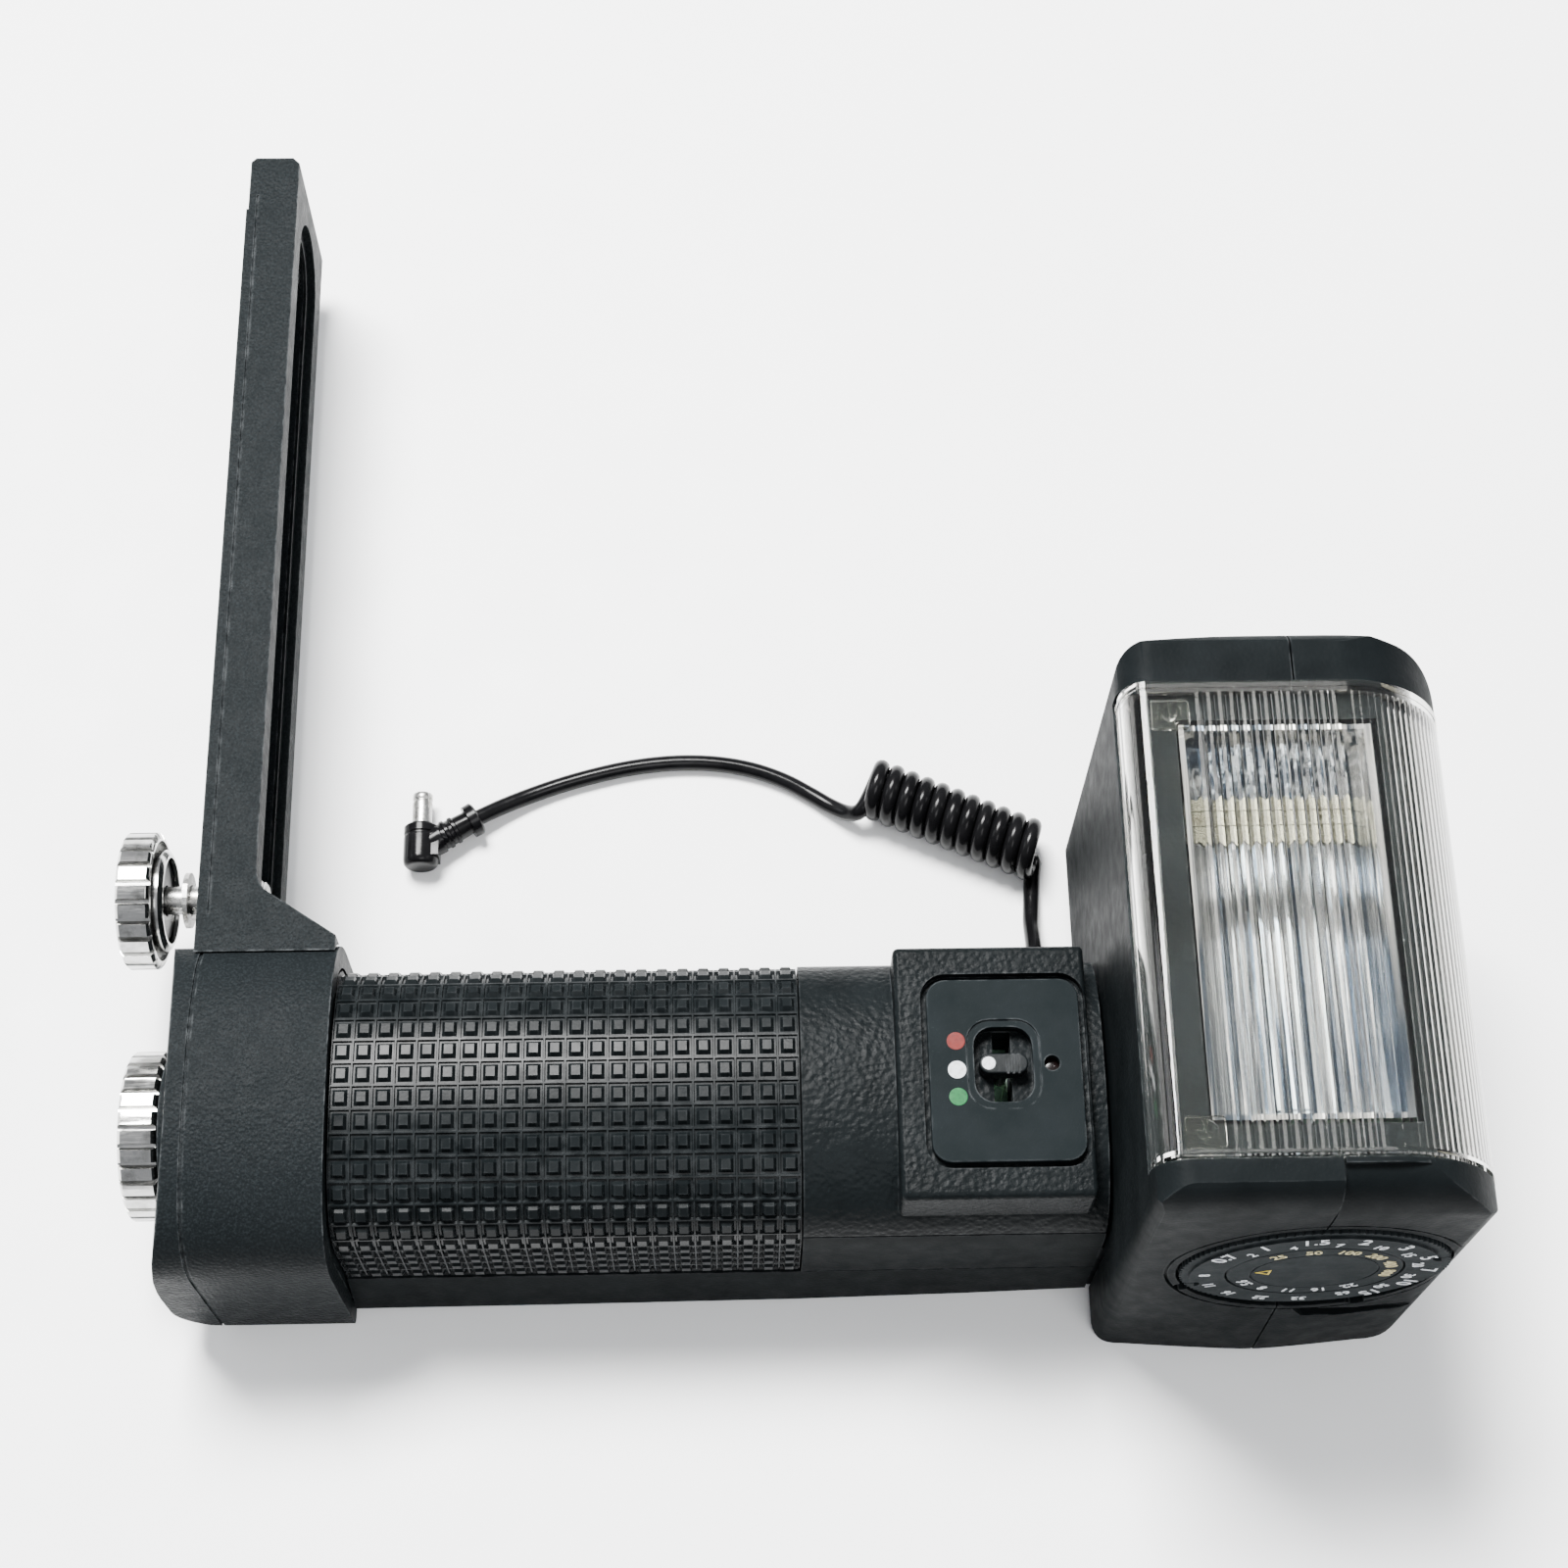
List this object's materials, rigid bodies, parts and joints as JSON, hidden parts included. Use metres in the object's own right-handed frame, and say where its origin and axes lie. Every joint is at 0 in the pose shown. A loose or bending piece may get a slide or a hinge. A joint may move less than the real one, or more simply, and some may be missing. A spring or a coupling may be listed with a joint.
{
  "type": "handle-mount electronic flash",
  "caption": "Hammerhead electronic flash on a slotted L-bracket: square-ribbed battery handle, tilting ribbed-lens head, dial, mode switch and curly sync cord with right-angle plug.",
  "frame": {"origin": "middle of the rear face that it lies on, under everything except the sync cord", "axes": "+X along the handle from the bracket end to the lamp head, +Y along the bracket arm, +Z out of the lens; it lies on its back"},
  "size_m": [0.2084, 0.2092, 0.0833],
  "materials": {
    "shell_plastic": "fine leather grain, satin",
    "bracket_plastic": "mottled glass-filled nylon, satin",
    "grip_plastic": "moulded square ribs, satin",
    "plate_plastic": "smooth matte",
    "dial_plastic": "smooth matte with printed scales",
    "chrome": "bright plated, light machining marks",
    "steel": "turned",
    "brass": "turned",
    "lens_clear": "clear moulded acrylic, ribbed, slightly yellowed",
    "sensor_dark": "dark clear plastic",
    "tube_glass": "clear glass",
    "mirror_tray": "bright anodised aluminium sheet",
    "cord_vinyl": "glossy vinyl",
    "board": "green circuit board",
    "cell_jacket": "plain printed jacket",
    "capacitor_sleeve": "shrink sleeve"
  },
  "bodies": {
    "handle": {"foot_plug": "shell_plastic", "handle_insert": "brass", "front_shell": "shell_plastic", "rear_shell": "shell_plastic", "grip_panel": "grip_plastic", "switch_housing": "shell_plastic", "switch_plate": "plate_plastic", "sensor_lens": "sensor_dark", "handle_screw_1": "steel", "handle_screw_2": "steel", "handle_screw_3": "steel", "handle_screw_4": "steel", "door_pin": "steel", "battery_cell_1": "cell_jacket", "battery_cell_2": "cell_jacket", "battery_cell_3": "cell_jacket", "battery_cell_4": "cell_jacket", "foot_contacts": "brass", "top_contacts": "brass", "main_capacitor": "capacitor_sleeve", "circuit_board": "board", "tilt_knuckle": "shell_plastic", "tilt_axle": "steel", "cord_gland": "cord_vinyl", "cord_lead": "cord_vinyl", "cord_coil": "cord_vinyl", "cord_free": "cord_vinyl", "plug_body": "cord_vinyl", "plug_sleeve": "chrome", "plug_pin": "brass"},
    "bracket": {"bracket_collar": "bracket_plastic", "bracket_arm": "bracket_plastic", "bracket_screw_1": "steel", "bracket_screw_2": "steel"},
    "clamp_knob": {"clamp_knob": "chrome", "clamp_stud": "steel"},
    "screw_carriage": {"screw_bush": "brass"},
    "screw_float": {"knob_washer": "steel"},
    "camera_screw": {"camera_screw": "steel", "camera_knob": "chrome"},
    "mode_slider": {"mode_slider": "shell_plastic"},
    "battery_door": {"battery_door": "shell_plastic"},
    "head": {"head_inner_shell": "shell_plastic", "head_outer_shell": "shell_plastic", "head_screw_1": "steel", "head_screw_2": "steel", "lens_cover": "lens_clear", "reflector": "mirror_tray", "flash_tube": "tube_glass", "trigger_board": "board", "trigger_coil": "capacitor_sleeve", "dial_clip": "steel"},
    "dial_ring": {"dial_ring": "dial_plastic"},
    "dial_disc": {"dial_disc": "dial_plastic"}
  },
  "joints": [
    {"name": "bracket_slide", "type": "slide", "parent": "handle", "child": "bracket", "axis": [-1, 0, 0], "range_m": [0, 0.032]},
    {"name": "clamp_knob_turn", "type": "hinge", "parent": "bracket", "child": "clamp_knob", "pos_m": [-0.0986, -0.07125, 0.0195], "axis": [-1, 0, 0], "continuous": true},
    {"name": "carriage_slide", "type": "slide", "parent": "bracket", "child": "screw_carriage", "axis": [0, 1, 0], "range_m": [0, 0.115]},
    {"name": "screw_push", "type": "slide", "parent": "screw_carriage", "child": "screw_float", "axis": [1, 0, 0], "range_m": [0, 0.0035]},
    {"name": "camera_screw_turn", "type": "hinge", "parent": "screw_float", "child": "camera_screw", "pos_m": [-0.1003, -0.03295, 0.0255], "axis": [1, 0, 0], "continuous": true},
    {"name": "mode_slide", "type": "slide", "parent": "handle", "child": "mode_slider", "axis": [0, 1, 0], "range_m": [-0.0039, 0.0039]},
    {"name": "door_hinge", "type": "hinge", "parent": "handle", "child": "battery_door", "pos_m": [-0.0021, -0.07125, 0.0024], "axis": [0, -1, 0], "range_deg": [0, 90]},
    {"name": "head_tilt", "type": "hinge", "parent": "handle", "child": "head", "pos_m": [0.0645, -0.07125, 0.012], "axis": [0, 1, 0], "range_deg": [0, 90]},
    {"name": "dial_ring_turn", "type": "hinge", "parent": "head", "child": "dial_ring", "pos_m": [0.0807, -0.10315, 0.0462], "axis": [0, -1, 0], "continuous": true},
    {"name": "dial_disc_turn", "type": "hinge", "parent": "head", "child": "dial_disc", "pos_m": [0.0807, -0.10315, 0.0462], "axis": [0, -1, 0], "continuous": true}
  ]
}
